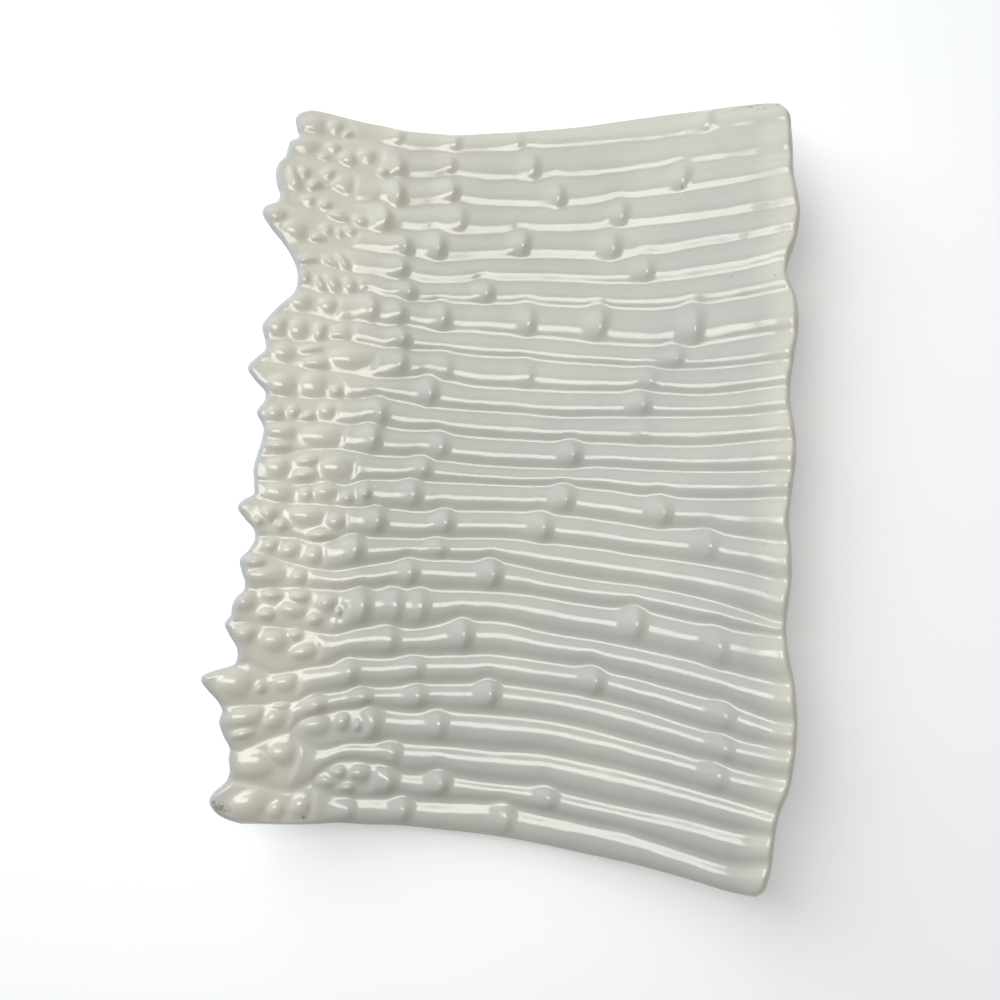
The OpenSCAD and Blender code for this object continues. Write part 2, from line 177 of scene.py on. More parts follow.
# Buds along each stem, from +Y to -Y, as [peak, middle across, strength]
BUDS = (
    ((-66.5, 152, 0.7), (-39, 152, 0.7), (-9, 155, 0.3), (79, 152, 0.6)),
    ((-64.5, 136.5, 1), (-40, 140, 0.7), (0, 140, 0.8)),
    ((-63.5, 123, 1.1), (-38, 127, 0.9), (13, 124, 0.9), (70, 128, 0.9)),
    ((-68.5, 110.5, 1.1), (-33, 114, 0.6), (43, 114, 0.9)),
    ((-58, 97.5, 1), (-42, 99, 1.2), (-2, 102, 1.1), (40, 98, 0.9)),
    ((-58.5, 87, 1), (55.5, 86, 0.8)),
    ((-54, 76, 0.9), (-17.5, 78, 0.9)),
    ((-70.5, 66, 0.8), (-57.5, 65, 0.9), (-37, 64.5, 0.9), (3, 64, 0.9), (36, 63, 1.1),
     (77.5, 58, 1)),
    ((-55, 53, 1), (70, 45, 0.7)),
    ((-55, 42, 0.9), (-34, 41, 0.4), (4, 39, 0.4), (59, 36, 0.5)),
    ((-40, 29, 1), (56.5, 25, 0.8)),
    ((-62, 17, 0.9), (57, 12.5, 0.3)),
    ((-64, 6, 1), (-33, 4, 0.7), (27, 3, 1)),
    ((-40, -6, 0.8),),
    ((-64.5, -19.5, 0.6), (-43.5, -18, 0.9), (25, -16, 0.9), (67, -22, 1)),
    ((-58.5, -31, 1.1), (-28, -29, 0.9), (16, -30, 0.9), (86, -34, 0.6)),
    ((-67, -44, 1), (-30, -41.5, 0.6)),
    ((-42, -53, 0.8), (-5, -51, 1.1)),
    ((-61.5, -69, 1), (-47, -68, 0.8), (-36, -67, 0.7), (58, -67, 1), (91, -75, 0.7)),
    ((-48, -82, 0.6), (-16, -78, 1)),
    ((-64.5, -97, 0.6), (-36, -94, 0.5), (42, -92, 0.9), (94, -100, 0.6)),
    ((-77, -111.5, 0.9), (-57.5, -107, 0.7), (-34, -105, 0.7), (-2.5, -101, 1.1), (94, -112, 0.6)),
    ((-52.5, -117.5, 0.8), (-24, -116, 0.7), (92, -122, 0.6)),
    ((-43, -129, 0.6),),
    ((-43.5, -140, 0.8), (-21, -139, 1.2), (25, -140, 0.7)),
    ((-60, -153, 0.7), (-36, -151, 0.9), (7.5, -150, 0.7)),
)

# Scuffs and pinholes in the glaze, as [s, v, length, width, strength]
MARKS = (
    (98, 153.5, 14, 1.2, 0.8), (109, 152.5, 3, 2, 1), (103, 150.5, 8, 0.8, 0.5),
    (-110, -153.5, 8, 4, 0.7), (-113.5, -151.5, 1.6, 1.6, 1), (-77, -156.5, 2.2, 1.4, 0.8),
    (-67, 7, 1.2, 1, 0.9), (-75, -7.5, 1.2, 1, 0.8), (92, 78, 1, 1, 0.8), (110, 75, 1, 1, 0.8),
    (107.5, -33.5, 1, 1, 0.8), (64, -88, 1, 1, 0.7), (87, -157.5, 1, 1, 0.7), (80, 129, 1, 1, 0.7),
    (70, 122, 1, 1, 0.7),
)

SPEAR_COUNT = len(SCALES)
# Spears whose tips lie between their neighbours, inside the outline, and where those tips are. Their
# seams open over the blend, and their points start just behind the tip.
INNER_TIPS = {22: -86, 24: -75}
INNER_BLEND = 12
INNER_START = 0.02


class PlateShape(bpy.types.PropertyGroup):
    """Sizes of the plate"""
    arc_r: bpy.props.FloatProperty(
        name="Cradle radius", description="Radius of the cradle curve at the seat of the spears",
        default=0.270, unit="LENGTH")
    axis_z: bpy.props.FloatProperty(
        name="Cradle axis", description="Height of the cradle's axis over the table",
        default=0.278, unit="LENGTH")
    low_x: bpy.props.FloatProperty(
        name="Lowest line", description="Place of the body's lowest line along X",
        default=0.00225, unit="LENGTH")
    mid_y: bpy.props.FloatProperty(
        name="Sheet middle", description="Place of the sheet's middle along Y",
        default=0.0004, unit="LENGTH")
    body_t: bpy.props.FloatProperty(
        name="Body thickness", description="Thickness of the body under the seat of the spears",
        default=0.005, unit="LENGTH")
    valley_h: bpy.props.FloatProperty(
        name="Valley", description="Height of the valleys over the seat",
        default=0.0024, unit="LENGTH")
    crown_rise: bpy.props.FloatProperty(
        name="Crown", description="Rise of a spear of mean width over its valleys",
        default=0.0017, unit="LENGTH")
    scale_rise: bpy.props.FloatProperty(
        name="Scales", description="Rise of a tip's scales", default=0.0031, unit="LENGTH")
    bud_rise: bpy.props.FloatProperty(
        name="Buds", description="Rise of the buds along a stem", default=0.0022, unit="LENGTH")
    glaze_flow: bpy.props.FloatProperty(
        name="Glaze flow", description="How far the glaze softens the clay under it",
        default=0.0005, unit="LENGTH")


class PlateFinish(bpy.types.PropertyGroup):
    """Colours and gloss of the plate"""
    glaze: bpy.props.FloatVectorProperty(
        name="Glaze", description="Ivory glaze on the crowns", subtype="COLOR", size=3,
        min=0, max=1, default=(0.55, 0.55, 0.50))
    # Cream of the thin glaze at the tips and rims; the same cream paints the +Y side lighter
    cream: bpy.props.FloatVectorProperty(
        name="Thin glaze", description="Warmer glaze, thin over the clay", subtype="COLOR", size=3,
        min=0, max=1, default=(0.70, 0.675, 0.585))
    # Painted bluish reflection on the rims of the tips, kept as a colour
    rim_reflection: bpy.props.FloatVectorProperty(
        name="Rim glaze", description="Cooler glaze that breaks over the rim of the tips",
        subtype="COLOR", size=3, min=0, max=1, default=(0.505, 0.53, 0.535))
    # Painted shade: a darker, warmer tint laid into the valleys by how deep they lie
    valley_shade: bpy.props.FloatVectorProperty(
        name="Pooled glaze", description="Thicker glaze in the valleys", subtype="COLOR", size=3,
        min=0, max=1, default=(0.52, 0.515, 0.455))
    scuff: bpy.props.FloatVectorProperty(
        name="Scuffs", description="Grey marks where the glaze is worn", subtype="COLOR", size=3,
        min=0, max=1, default=(0.16, 0.15, 0.13))
    clay: bpy.props.FloatVectorProperty(
        name="Bare clay", description="Unglazed clay of the foot", subtype="COLOR", size=3,
        min=0, max=1, default=(0.70, 0.62, 0.48))
    gloss: bpy.props.FloatProperty(
        name="Glaze roughness", description="Roughness of the glaze", subtype="FACTOR",
        min=0, max=1, default=0.14)


class PlateStage(bpy.types.PropertyGroup):
    """Camera, floor and light"""
    camera_at: bpy.props.FloatVectorProperty(
        name="Camera", description="Place of the camera", subtype="TRANSLATION", size=3,
        default=(0.0510, -0.0629, 0.3210))
    camera_turn: bpy.props.FloatVectorProperty(
        name="Camera turn", description="Turn of the camera", subtype="EULER", size=3,
        default=(math.radians(8.80), math.radians(9.06), math.radians(4.10)))
    lens: bpy.props.FloatProperty(
        name="Lens", description="Focal length in millimetres", default=26.0)
    floor: bpy.props.FloatVectorProperty(
        name="Floor", description="Colour of the floor", subtype="COLOR", size=3,
        min=0, max=1, default=(0.95, 0.95, 0.95))


def own_names(group):
    """Names of a property group's own properties"""
    return [name for name in group.bl_rna.properties.keys() if name not in ("rna_type", "name")]


def shape():
    """The scene's plate sizes, in millimetres"""
    group = bpy.context.scene.plate_shape
    return {name: getattr(group, name) / MM for name in own_names(group)}


# Curves on the sheet

def smooth_line(knots, values, at):
    """Cubic curve through values at rising knots, level past its ends"""
    knots = np.asarray(knots, float)
    values = np.asarray(values, float)
    slopes = np.gradient(values, knots)
    at = np.clip(at, knots[0], knots[-1])
    i = np.clip(np.searchsorted(knots, at, side="right") - 1, 0, len(knots) - 2)
    run = knots[i + 1] - knots[i]
    t = (at - knots[i]) / run
    bend = run * t * (1 - t) * ((1 - t) * slopes[i] - t * slopes[i + 1])
    return values[i] + (values[i + 1] - values[i]) * eased_step(t) + bend


def quarter(t):
    """Quarter circle from 0 to 1"""
    return np.sqrt(1 - (1 - np.clip(t, 0, 1)) ** 2)


def eased_step(t):
    """Smooth step from 0 to 1"""
    t = np.clip(t, 0, 1)
    return t * t * (3 - 2 * t)


def outline_at(line, v):
    """Place along the sheet of an outline at v"""
    points = np.array(line[::-1], float)
    return smooth_line(points[:, 1], points[:, 0], v)


# How far a bud pushes the seam above it, how far before its end, and how far along the seam
BULGE = 1.5
BULGE_BACK = 1.5
BULGE_RUN = 4.2


def plain_seam(row, s):
    """A seam's place across the sheet, pushed up by the buds of the spear below it"""
    v = smooth_line(STATIONS, SEAMS[row], s)
    if 0 < row < SPEAR_COUNT:
        for end, _, strength in BUDS[row]:
            v = v + strength * BULGE * np.exp(-(((s - end + BULGE_BACK) / BULGE_RUN) ** 2))
    return v


def seam_at(row, s):
    """A seam's place across the sheet. The two seams of an inner spear close at its tip."""
    for inner, tip in INNER_TIPS.items():
        if row in (inner, inner + 1):
            upper = plain_seam(inner, s)
            lower = plain_seam(inner + 1, s)
            opened = quarter((s - tip) / INNER_BLEND)
            middle = (upper + lower) / 2
            return middle + (plain_seam(row, s) - middle) * opened
    return plain_seam(row, s)


# Relief as a height map of the sheet

class HeightMap:
    """Heights on an even grid of the sheet"""
    step = 0.4
    s0, s1 = -132, 128
    v0, v1 = -172, 172
    # Samples stay this far, in cells, from the end of the grid
    end_gap = 1.001

    def __init__(self):
        self.s = np.arange(self.s0, self.s1, self.step)
        self.v = np.arange(self.v0, self.v1, self.step)
        self.h = np.zeros((len(self.s), len(self.v)))

    def window(self, s_from, s_to, v_from, v_to):
        """Slices of the grid that cover a rectangle"""
        i = np.searchsorted(self.s, (s_from, s_to))
        j = np.searchsorted(self.v, (v_from, v_to))
        return slice(*i), slice(*j)

    def cell(self, at, start, count):
        """The cells that places fall into, and how far into them"""
        place = np.clip((at - start) / self.step, 0, count - self.end_gap)
        index = place.astype(int)
        return index, place - index

    def sample(self, grid, s, v):
        """Values of a grid at places on the sheet"""
        i, x = self.cell(s, self.s0, len(self.s))
        j, y = self.cell(v, self.v0, len(self.v))
        near = grid[i, j] * (1 - y) + grid[i, j + 1] * y
        far = grid[i + 1, j] * (1 - y) + grid[i + 1, j + 1] * y
        return near * (1 - x) + far * x


# Reaches of the blur after which its weights end
BLUR_END = 3


def softened(grid, reach):
    """A grid after a bell-shaped blur that reaches that many cells"""
    half = int(math.ceil(BLUR_END * reach))
    weights = np.exp(-0.5 * (np.arange(-half, half + 1) / reach) ** 2)
    weights /= weights.sum()
    for axis in (0, 1):
        padded = np.pad(grid, [(half, half) if a == axis else (0, 0) for a in (0, 1)], "edge")
        size = grid.shape[axis]
        grid = sum(w * np.take(padded, np.arange(k, k + size), axis) for k, w in enumerate(weights))
    return grid


# Stems: the mean half width, the least one, the most times the mean that adds to the rise, and the
# share of the half width at which the crest turns into the valley
MEAN_HALF = 6.2
LEAST_HALF = 1e-6
MOST_HALVES = 1.6
CREST_SHARE = 0.72

# Buds: the run of the rise, how far it goes on past the peak, its power, the run of the step down,
# how far the sides of a bud end before its middle, and the power of its fall across the stem
BUD_RUN = 8.5
BUD_OVER = 1.5
BUD_POWER = 1.5
BUD_STEP = 6
BUD_NOSE = 2.2
BUD_SIDE_POWER = 1.3


def stem_profile(u):
    """Height share across a stem: a wide crest arc that runs into narrow arcs in the valleys"""
    u = np.minimum(np.abs(u), 1)
    return np.where(u < CREST_SHARE, 1 - u * u / CREST_SHARE, (1 - u) ** 2 / (1 - CREST_SHARE))


def bud_profile(s, end):
    """Height share along a bud: a slow rise towards the cut end, then a steep step down"""
    t = np.clip((s - end + BUD_RUN) / (BUD_RUN + BUD_OVER), 0, 1)
    return t ** BUD_POWER * eased_step((end + BUD_STEP - s) / BUD_STEP)


# Scales: how much a scale widens towards its blunt end, how far its foot spreads past its outline,
# and a shift that keeps the grid's points off its middle
EGG_TAPER = 0.2
SCALE_SKIRT = 1.12
OFF_MIDDLE = 0.01

# Tips: the width and the start of the slopes between scales, the share of the height under them,
# the power of the broad base, its run into the stem, the station that gives the tip's width, and
# how far past the scales, along and across, the tip is worked
CELL_EDGE = 2.2
CELL_START = 0.1
CELL_FLOOR = 0.52
BROAD_POWER = 6
LEVEL_RUN = 14
TIP_STATION = 3
TIP_MARGIN = 20
TIP_SIDE_MARGIN = 40


def scale_field(scale, s, v):
    """A scale's reach (1 on its egg-shaped outline), how fast that grows, and its height share"""
    s0, v0, s1, v1, half = scale
    run = math.hypot(s1 - s0, v1 - v0)
    way_s = (s1 - s0) / run
    way_v = (v1 - v0) / run
    s = s - (s0 + s1) / 2 + OFF_MIDDLE
    v = v - (v0 + v1) / 2
    along = 2 * (way_s * s + way_v * v) / run
    half = half * (1 + EGG_TAPER * np.clip(along, -1, 1))
    aside = (way_s * v - way_v * s) / half
    reach = np.hypot(along, aside)
    growth = np.hypot(2 * along / run, aside / half) / reach
    return reach, growth, stem_profile(reach / SCALE_SKIRT)


def lay_tip(board, k, u, rise, height, gain):
    """Parts a spear's tip into scales, each as large as its neighbours let it be"""
    tip_end = max(scale[2] for scale in SCALES[k])
    i, j = board.window(board.s0, tip_end + TIP_MARGIN, SEAMS[k + 1][0] - TIP_SIDE_MARGIN,
                        SEAMS[k][0] + TIP_SIDE_MARGIN)
    s = board.s[i][:, None]
    v = board.v[j][None, :]
    u = u[i, j]
    plain = stem_profile(u)
    broad = 1 - np.minimum(np.abs(u), 1) ** BROAD_POWER
    base = broad + (plain - broad) * eased_step((s - tip_end) / LEVEL_RUN)
    half = (SEAMS[k][TIP_STATION] - SEAMS[k + 1][TIP_STATION]) / 2
    nose = np.hypot(np.minimum(s - tip_end - half, 0), u * half) / half

    # The stem's nose and the scales share the tip out: each place goes to the nearest, and the
    # height sinks where the two nearest meet
    fields = [(nose, np.full_like(nose, 1 / half), plain)]
    for scale in SCALES[k]:
        reach, growth, share = scale_field(scale, s, v)
        fields.append((reach, growth, gain * broad * share))
    order = np.argsort([field[0] for field in fields], 0)
    reach, growth, share = [np.take_along_axis(np.stack(values), order[:2], 0)
                            for values in zip(*fields)]
    gap = (reach[1] - reach[0]) / (growth[0] + growth[1])
    cell = eased_step(gap / CELL_EDGE + CELL_START)
    height[i, j] = rise[i] * (CELL_FLOOR * base + (1 - CELL_FLOOR) * cell * share[0])


def lay_stems(board, size):
    """Rounded stems between the seams, which swell at their buds"""
    board.h[:] = size["valley_h"]
    for k in range(SPEAR_COUNT):
        upper = seam_at(k, board.s)[:, None]
        lower = seam_at(k + 1, board.s)[:, None]
        half = np.maximum((upper - lower) / 2, LEAST_HALF)
        u = (board.v[None, :] - (upper + lower) / 2) / half
        rise = size["crown_rise"] * np.sqrt(np.minimum(half / MEAN_HALF, MOST_HALVES))
        height = rise * stem_profile(u)
        lay_tip(board, k, u, rise, height, size["scale_rise"] / size["crown_rise"])
        for end, middle, strength in BUDS[k]:
            q2 = np.minimum(((board.v[None, :] - middle) / half) ** 2, 1)
            swell = strength * bud_profile(board.s[:, None] + BUD_NOSE * q2, end)
            swell = swell * (1 - q2) ** BUD_SIDE_POWER * (np.abs(u) < 1)
            height = height + size["bud_rise"] * swell
        board.h = np.maximum(board.h, size["valley_h"] + height)


# Glaze that fills the hollows, its reach and share. Unevenness of the hand work, its reach, rise
# and seed. Reach over which a place counts as a hollow, for the painted shade in the valleys.
FILL_REACH = 1.4
FILL_SHARE = 0.7
HAND_REACH = 3.2
HAND_RISE = 0.07
HAND_SEED = 5
HOLLOW_REACH = 2.4


def relief(size):
    """Height map of the whole relief, softened by the glaze, and how deep each place lies"""
    board = HeightMap()
    lay_stems(board, size)
    filled = np.maximum(softened(board.h, FILL_REACH / board.step) - board.h, 0)
    uneven = np.random.default_rng(HAND_SEED).normal(size=board.h.shape)
    uneven = softened(uneven, HAND_REACH / board.step)
    board.h = board.h + FILL_SHARE * filled + HAND_RISE * uneven / uneven.std()
    board.h = softened(board.h, size["glaze_flow"] / board.step)
    board.slope_s, board.slope_v = np.gradient(board.h, board.step)
    board.hollow = softened(board.h, HOLLOW_REACH / board.step) - board.h
    return board


# Patches of the sheet

# Starts and rounds of the search for a line's end on the outline
TIP_START = -110.0
CUT_START = 112.0
END_ROUNDS = 8

# Rounding of the relief's rim at the tips, the cut ends and the two sides, and half the length over
# which the outline's slant is taken
RIM_ROUNDS = (8, 4, 3, 3)
SLANT_HALF = 0.5


def eased(t, share):
    """Even steps from -1 to 1, drawn together at both ends by that share"""
    return (1 - share) * t + share * np.sin(t * math.pi / 2)


def place_on_sheet(a, u, upper_row, lower_row, tip=None):
    """Places on the sheet: a runs from the tips (0) to the cut ends (1), u across from the lower
    seam (-1) to the upper one (1)"""
    def across(s):
        upper = seam_at(upper_row, s)
        lower = seam_at(lower_row, s)
        return (upper + lower) / 2 + u * (upper - lower) / 2

    def end(line, start):
        s = np.full_like(u, start)
        for _ in range(END_ROUNDS):
            s = outline_at(line, across(s))
        return s

    front = end(TIP_LINE, TIP_START) if tip is None else tip + INNER_START
    back = end(CUT_LINE, CUT_START)
    s = front + (back - front) * a
    return s, across(s)


def edge_gaps(s, v):
    """Distances along the sheet to the tips and the cut ends, and across it to the two sides"""
    return (s - outline_at(TIP_LINE, v), outline_at(CUT_LINE, v) - s,
            seam_at(0, s) - v, v - seam_at(SPEAR_COUNT, s))


def rounded(gaps, rounds):
    """Share of the full height that is left at these distances from the edges"""
    share = 1
    for gap, run in zip(gaps, rounds):
        share = share * quarter(gap / run)
    return share


def rim_share(s, v):
    """Share of the relief's height that is left near the outline"""
    def slant(line):
        rise = outline_at(line, v + SLANT_HALF) - outline_at(line, v - SLANT_HALF)
        return np.hypot(1, rise / (2 * SLANT_HALF))

    front, back, upper, lower = edge_gaps(s, v)
    return rounded((front / slant(TIP_LINE), back / slant(CUT_LINE), upper, lower), RIM_ROUNDS)


def bent(size, s, v, h):
    """Points of the frame, in metres, for places and heights on the sheet"""
    angle = s / size["arc_r"]
    reach = size["arc_r"] - h
    return np.stack([size["low_x"] + reach * np.sin(angle), size["mid_y"] + v,
                     size["axis_z"] - reach * np.cos(angle)], 1) * MM


def sheet_normals(size, s, slope_s, slope_v):
    """Unit normals of a bent height map"""
    angle = s / size["arc_r"]
    normals = np.stack([-np.sin(angle) - slope_s * np.cos(angle), -slope_v,
                        np.cos(angle) - slope_s * np.sin(angle)], 1)
    return normals / np.linalg.norm(normals, axis=1)[:, None]


# Pieces

# Points closer than this, in metres, are one
MERGE_DISTANCE = 1e-6


def move_to(verts, points):
    """Puts each vertex at its point"""
    for vert, point in zip(verts, points):
        vert.co = point


def finish_piece(bm, name, material, nodes):
    """Turns a bmesh into a piece that stands for its CAD nodes"""
    mesh = bpy.data.meshes.new(name)
    bm.to_mesh(mesh)
    bm.free()
    mesh.shade_smooth()
    mesh.materials.append(material)
    piece = bpy.data.objects.new(name, mesh)
    bpy.context.scene.collection.objects.link(piece)
    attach(piece, BODY)
    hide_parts(*nodes)
    return piece


# Spears: points along and across one, and how far they are drawn together at its ends and sides
ROWS = 450
COLUMNS = 30
ROW_EASE = 0.25
COLUMN_EASE = 1

# Height share at which the relief's normals start to take over from the rim's, and its run
NORMALS_START = 0.55
NORMALS_RUN = 0.35

# Seat of a spear: how far it sinks into the body, how far it is drawn in at the ends, the width
# that is left of it, and how far from the middle its two sides are bridged
SEAT_SINK = 0.3
SEAT_END = 0.006
SEAT_WIDTH = 0.96
SEAT_MIDDLE = 0.44

# Thin glaze: where it starts before the tips and its run, and its run at the cut ends and the +Y
# side.
# Run of the painted lighter, creamier tone towards the +Y side. Run of the painted bluish reflection
# on the rim of the tips. Spread of the worn marks.
THIN_START = -58
THIN_RUN = 30
THIN_RIM = 14
LIT_SIDE_RUN = 320
RIM_REFLECTION_RUN = 6
WEAR_SPREAD = 1.3


def lay_crown(bm, k, size, board):
    """Lays a spear's crown and gives its places on the grid and on the sheet, and its normals"""
    bmesh.ops.create_grid(bm, x_segments=ROWS, y_segments=COLUMNS, size=1)
    grid = np.array([vert.co for vert in bm.verts])
    a = (eased(grid[:, 0], ROW_EASE) + 1) / 2
    u = eased(grid[:, 1], COLUMN_EASE)
    s, v = place_on_sheet(a, u, k, k + 1, INNER_TIPS.get(k))
    share = rim_share(s, v)
    move_to(bm.verts, bent(size, s, v, board.sample(board.h, s, v) * share))
    bm.normal_update()
    rim_normals = np.array([vert.normal for vert in bm.verts])
    flat_normals = sheet_normals(size, s, board.sample(board.slope_s, s, v),
                                 board.sample(board.slope_v, s, v))
    if (rim_normals * flat_normals).sum() < 0:
        bmesh.ops.reverse_faces(bm, faces=bm.faces)
        rim_normals = -rim_normals
    weight = np.clip((share - NORMALS_START) / NORMALS_RUN, 0, 1)[:, None]
    return a, u, s, v, rim_normals + (flat_normals - rim_normals) * weight


def close_seat(bm, k, size, a, u):
    """Draws the crown's edge in and down, closes it below, and gives the normals of the seat"""
    top_count = len(bm.verts)
    edge = [e for e in bm.edges if e.is_boundary]
    made = bmesh.ops.extrude_edge_only(bm, edges=edge)["geom"]
    below = [x for x in made if isinstance(x, bmesh.types.BMVert)]
    bm.verts.ensure_lookup_table()
    bm.verts.index_update()
    source = {}
    for vert in below:
        for e in vert.link_edges:
            other = e.other_vert(vert)
            if other.index < top_count:
                source[vert] = other.index
    index = np.array([source[vert] for vert in below])
    inner_a = np.clip(a[index], SEAT_END, 1 - SEAT_END)
    inner_u = np.clip(u[index], -SEAT_WIDTH, SEAT_WIDTH)
    s, v = place_on_sheet(inner_a, inner_u, k, k + 1, INNER_TIPS.get(k))
    move_to(below, bent(size, s, v, np.full(len(index), -SEAT_SINK)))
    bmesh.ops.remove_doubles(bm, verts=below, dist=MERGE_DISTANCE)
    below = [vert for vert in below if vert.is_valid]

    # The two long sides are bridged first, and the ends that stay open are filled
    sides = [e for e in bm.edges if e.is_boundary
             and all(abs(a[source[vert]] - 0.5) < SEAT_MIDDLE for vert in e.verts)]
    bmesh.ops.bridge_loops(bm, edges=sides)
    bmesh.ops.holes_fill(bm, edges=[e for e in bm.edges if e.is_boundary], sides=0)
    bm.normal_update()
    return np.array([vert.normal for vert in below])


def set_float(mesh, name, values):
    """Writes one number for each vertex of the crown, and 0 for the seat"""
    numbers = np.zeros(len(mesh.vertices), np.float32)
    numbers[:len(values)] = values
    mesh.attributes.new(name, "FLOAT", "POINT").data.foreach_set("value", numbers)


def mark_glaze(mesh, board, s, v):
    """Writes how deep each place lies, the thin glaze with the painted lighter +Y side, the painted
    bluish reflection on the tips' rims, and the wear
    """
    front, back, upper, _ = edge_gaps(s, v)
    thin_and_lit = np.clip((THIN_START - s) / THIN_RUN, 0, 1)
    thin_and_lit = thin_and_lit + np.clip(1 - np.minimum(back, upper) / THIN_RIM, 0, 1)
    # Painted light: the glaze is made lighter and creamier towards the +Y side across the plate
    thin_and_lit = thin_and_lit + np.clip(v / LIT_SIDE_RUN, 0, 1)
    wear = np.zeros_like(s)
    for mark_s, mark_v, length, width, strength in MARKS:
        r2 = (2 * (s - mark_s) / length) ** 2 + (2 * (v - mark_v) / width) ** 2
        wear = np.maximum(wear, strength * np.clip(WEAR_SPREAD - r2, 0, 1))
    # How deep each place lies, which darkens the valleys with painted shade
    set_float(mesh, "hollow", board.sample(board.hollow, s, v))
    set_float(mesh, "thin_and_lit", thin_and_lit)
    # Painted bluish reflection on the rims of the tips
    set_float(mesh, "rim_reflection", np.clip(1 - front / RIM_REFLECTION_RUN, 0, 1))
    set_float(mesh, "wear", wear)


def make_spear(k, size, board, material):
    """One spear: its glazed crown, and a seat that sinks into the body"""
    bm = bmesh.new()
    a, u, s, v, crown_normals = lay_crown(bm, k, size, board)
    seat_normals = close_seat(bm, k, size, a, u)
    name = f"spear_{k + 1:02d}"
    mesh = finish_piece(bm, f"glazed_{name}", material, [name]).data
    mesh.normals_split_custom_set_from_vertices(np.concatenate([crown_normals, seat_normals]))
    mark_glaze(mesh, board, s, v)


# Materials

GLAZE_IOR = 1.7
# Shade of the glaze in the clouds of the underside, and of the clay in its dark grains
UNDER_SHADE = (0.93, 0.92, 0.89)
DARK_GRAIN = 0.82
# Heights, in metres, between which the wiped clay of the foot gives way to glaze
WIPED_FROM = 0.0018
WIPED_TO = 0.0024
# Sockets of a Mix node that is set to colours
MIX_SHARE, MIX_FIRST, MIX_SECOND, MIX_RESULT = 0, 6, 7, 2


def new_material(name):
    """A node material, its tree and its shader"""
    material = bpy.data.materials.new(name)
    material.use_nodes = True
    tree = material.node_tree
    return material, tree, tree.nodes["Principled BSDF"]


def feed(tree, value, socket):
    """Links an output to a socket, or sets the socket to a plain number or colour"""
    if isinstance(value, bpy.types.NodeSocket):
        tree.links.new(value, socket)
    elif socket.type == "RGBA":
        socket.default_value = (*value, 1)
    else:
        socket.default_value = value


def noise(tree, scale, detail):
    """Noise on Object coordinates"""
    place = tree.nodes.new("ShaderNodeTexCoord")
    texture = tree.nodes.new("ShaderNodeTexNoise")
    texture.inputs["Scale"].default_value = scale
    texture.inputs["Detail"].default_value = detail
    tree.links.new(place.outputs["Object"], texture.inputs["Vector"])
    return texture.outputs["Fac"]


def ranged(tree, value, low, high, out_low=0, out_high=1):
    """A value brought from one range to another, and held there"""
    node = tree.nodes.new("ShaderNodeMapRange")
    tree.links.new(value, node.inputs["Value"])
    for name, number in (("From Min", low), ("From Max", high), ("To Min", out_low),
                         ("To Max", out_high)):
        node.inputs[name].default_value = number
    return node.outputs["Result"]


def patchy(tree, scale, detail, low=0.3, high=0.7, out_low=0, out_high=1):
    """Noise with its usual spread brought to a range"""
    return ranged(tree, noise(tree, scale, detail), low, high, out_low, out_high)


def mixed(tree, share, first, second):
    """A mix of two colours, each a colour or an output"""
    node = tree.nodes.new("ShaderNodeMix")
    node.data_type = "RGBA"
    for value, index in ((share, MIX_SHARE), (first, MIX_FIRST), (second, MIX_SECOND)):
        feed(tree, value, node.inputs[index])
    return node.outputs[MIX_RESULT]


def attribute(tree, name):
    """A number kept at the vertices"""
    node = tree.nodes.new("ShaderNodeAttribute")
    node.attribute_name = name
    return node.outputs["Fac"]


def maths(tree, operation, first, second):
    """One sum on two values"""
    node = tree.nodes.new("ShaderNodeMath")
    node.operation = operation
    feed(tree, first, node.inputs[0])
    feed(tree, second, node.inputs[1])
    return node.outputs[0]


def bumped(tree, shader, height, strength, distance):
    """Fine bumps on a finish"""
    bump = tree.nodes.new("ShaderNodeBump")
    bump.inputs["Strength"].default_value = strength
    bump.inputs["Distance"].default_value = distance
    tree.links.new(height, bump.inputs["Height"])
    tree.links.new(bump.outputs["Normal"], shader.inputs["Normal"])


def relief_glaze(finish):
    """Ivory glaze with painted shade in the valleys, cream thin glaze, a painted lighter +Y side, a
    painted bluish reflection on the tips' rims, scuffs and faint ripples
    """
    material, tree, shader = new_material("relief_glaze")
    # Painted shade: the valleys are darkened by how deep they lie
    valley_shade_share = ranged(tree, attribute(tree, "hollow"), low=-0.1, high=1.2)
    colour = mixed(tree, valley_shade_share, finish.glaze, finish.valley_shade)
    cloud = patchy(tree, scale=22, detail=3, out_low=-0.25, out_high=0.25)
    # Cream where the glaze is thin at the tips and rims, and painted lighter towards the +Y side
    thin_and_lit = maths(tree, "ADD", attribute(tree, "thin_and_lit"), cloud)
    colour = mixed(tree, ranged(tree, thin_and_lit, low=0, high=1), colour, finish.cream)
    # Painted bluish reflection on the rims of the tips
    colour = mixed(tree, attribute(tree, "rim_reflection"), colour, finish.rim_reflection)
    grit = patchy(tree, scale=700, detail=4, low=0.42, high=0.58)
    worn = maths(tree, "MULTIPLY", attribute(tree, "wear"), grit)
    colour = mixed(tree, worn, colour, finish.scuff)
    tree.links.new(colour, shader.inputs["Base Color"])
    shader.inputs["IOR"].default_value = GLAZE_IOR
    rough = patchy(tree, scale=60, detail=2, out_low=finish.gloss - 0.03,
                   out_high=finish.gloss + 0.05)
    rough = maths(tree, "ADD", rough, maths(tree, "MULTIPLY", worn, 0.4))
    tree.links.new(rough, shader.inputs["Roughness"])
    bumped(tree, shader, noise(tree, scale=260, detail=2), strength=0.05, distance=0.001)
    return material


